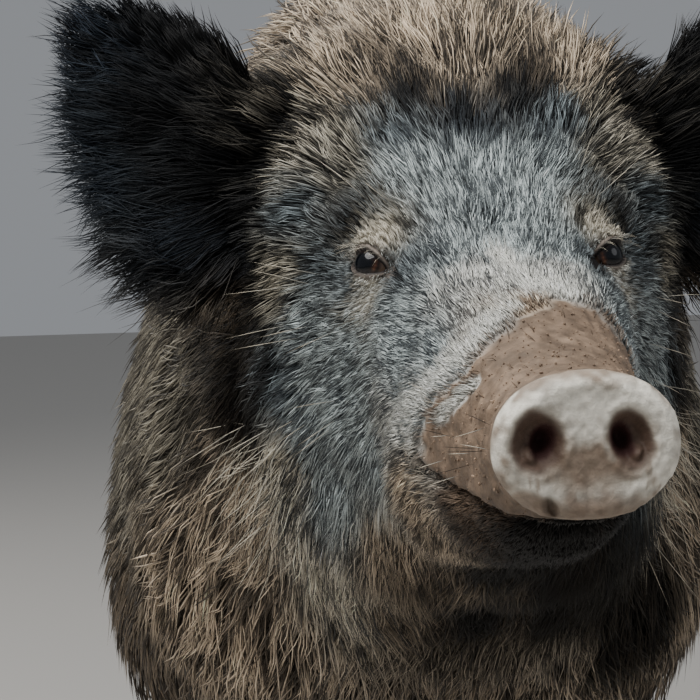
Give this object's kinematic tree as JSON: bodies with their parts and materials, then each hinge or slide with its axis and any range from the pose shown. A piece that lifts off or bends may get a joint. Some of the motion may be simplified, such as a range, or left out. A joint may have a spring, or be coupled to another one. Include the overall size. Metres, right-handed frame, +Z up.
{
  "type": "wild boar",
  "caption": "Life-size still model of a wild boar standing square on its hooves, with a shaggy grey-brown coat, hairy upright ears and a mud-caked snout.",
  "frame": {"origin": "on the floor, under the middle of the animal's box", "axes": "+Z up, -Y the way the body faces, +X the boar's own left"},
  "size_m": [0.4474, 1.5144, 0.8391],
  "materials": {
    "coat": "coarse bristly hair, grey-brown with pale tips over near-black roots, silver-grey on the brow and cheeks",
    "coat_dark": "near-black bristly hair of ears, legs and tail",
    "nose_skin": "bare pale grey skin with drying brown mud",
    "eye": "wet, dark brown iris and black pupil under a clear cornea",
    "hoof_horn": "dark grey-brown horn, dull, scuffed at the edge"
  },
  "bodies": {
    "root": {"head": "coat", "lower_jaw": "coat", "nose_disc": "nose_skin", "neck": "coat", "trunk": "coat", "tail": "coat_dark", "ear_left": "coat_dark", "eye_left": "eye", "ear_right": "coat_dark", "eye_right": "eye", "leg_front_left": "coat_dark", "leg_front_right": "coat_dark", "leg_hind_left": "coat_dark", "leg_hind_right": "coat_dark", "hoof_front_left_outer": "hoof_horn", "hoof_front_left_inner": "hoof_horn", "hoof_front_right_outer": "hoof_horn", "hoof_front_right_inner": "hoof_horn", "hoof_hind_left_outer": "hoof_horn", "hoof_hind_left_inner": "hoof_horn", "hoof_hind_right_outer": "hoof_horn", "hoof_hind_right_inner": "hoof_horn", "dewclaw_front_left_outer": "hoof_horn", "dewclaw_front_left_inner": "hoof_horn", "dewclaw_front_right_outer": "hoof_horn", "dewclaw_front_right_inner": "hoof_horn", "dewclaw_hind_left_outer": "hoof_horn", "dewclaw_hind_left_inner": "hoof_horn", "dewclaw_hind_right_outer": "hoof_horn", "dewclaw_hind_right_inner": "hoof_horn"}
  },
  "joints": []
}
